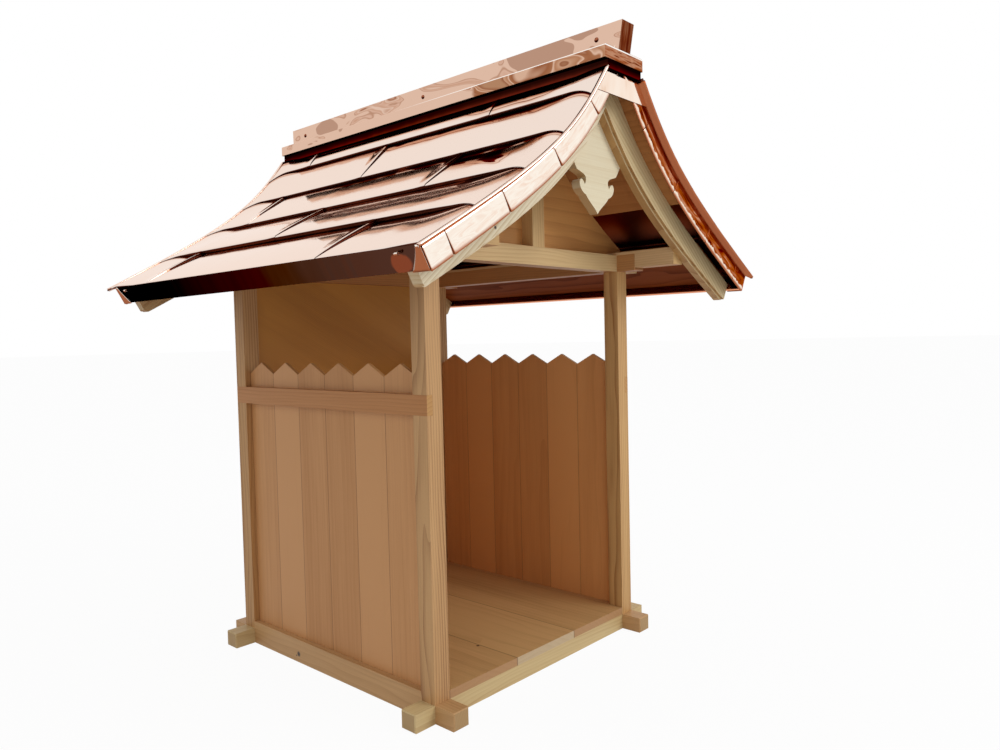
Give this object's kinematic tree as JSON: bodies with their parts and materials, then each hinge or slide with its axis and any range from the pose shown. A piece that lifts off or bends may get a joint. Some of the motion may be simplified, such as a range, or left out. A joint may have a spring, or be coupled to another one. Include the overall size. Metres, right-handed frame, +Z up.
{
  "type": "wayside shrine shelter",
  "caption": "Small open-fronted timber shelter for a shrine or figure, with boarded sides and back under a concave copper gable roof.",
  "frame": {"origin": "on the ground, under the middle of the roof", "axes": "+Z up, -Y is the open gable front, +X is to the right of someone facing the front"},
  "size_m": [0.849, 0.8524, 1.017],
  "materials": {
    "frame_timber": "planed bare hinoki",
    "thin_boards": "planed bare hinoki boards",
    "gable_boards": "planed bare hinoki, pale",
    "copper_courses": "bright bare sheet copper",
    "copper_edging": "bright bare sheet copper, folded",
    "copper_ridge": "bright bare sheet copper over timber"
  },
  "bodies": {
    "root": {"apex_plates": "copper_edging", "back_beam": "frame_timber", "back_gable_panel": "thin_boards", "back_left_bargeboard": "gable_boards", "back_left_post": "frame_timber", "back_pendant": "gable_boards", "back_right_bargeboard": "gable_boards", "back_right_post": "frame_timber", "back_sill": "frame_timber", "back_verge_strips": "copper_edging", "back_wall_panel": "thin_boards", "eaves_boards": "thin_boards", "floor_boards": "thin_boards", "front_beam": "frame_timber", "front_gable_panel": "thin_boards", "front_left_bargeboard": "gable_boards", "front_left_post": "frame_timber", "front_pendant": "gable_boards", "front_right_bargeboard": "gable_boards", "front_right_post": "frame_timber", "front_sill": "frame_timber", "front_verge_strips": "copper_edging", "king_posts": "frame_timber", "left_copper_courses": "copper_courses", "left_eaves_fascia": "copper_edging", "left_eaves_purlin": "frame_timber", "left_mid_rail": "frame_timber", "left_roof_deck": "thin_boards", "left_sill": "frame_timber", "left_wall_boards": "thin_boards", "left_wall_plate": "frame_timber", "ridge_base": "copper_ridge", "ridge_box": "copper_ridge", "ridge_cap": "copper_ridge", "ridge_purlin": "frame_timber", "right_copper_courses": "copper_courses", "right_eaves_fascia": "copper_edging", "right_eaves_purlin": "frame_timber", "right_mid_rail": "frame_timber", "right_roof_deck": "thin_boards", "right_sill": "frame_timber", "right_wall_boards": "thin_boards", "right_wall_plate": "frame_timber"}
  },
  "joints": []
}
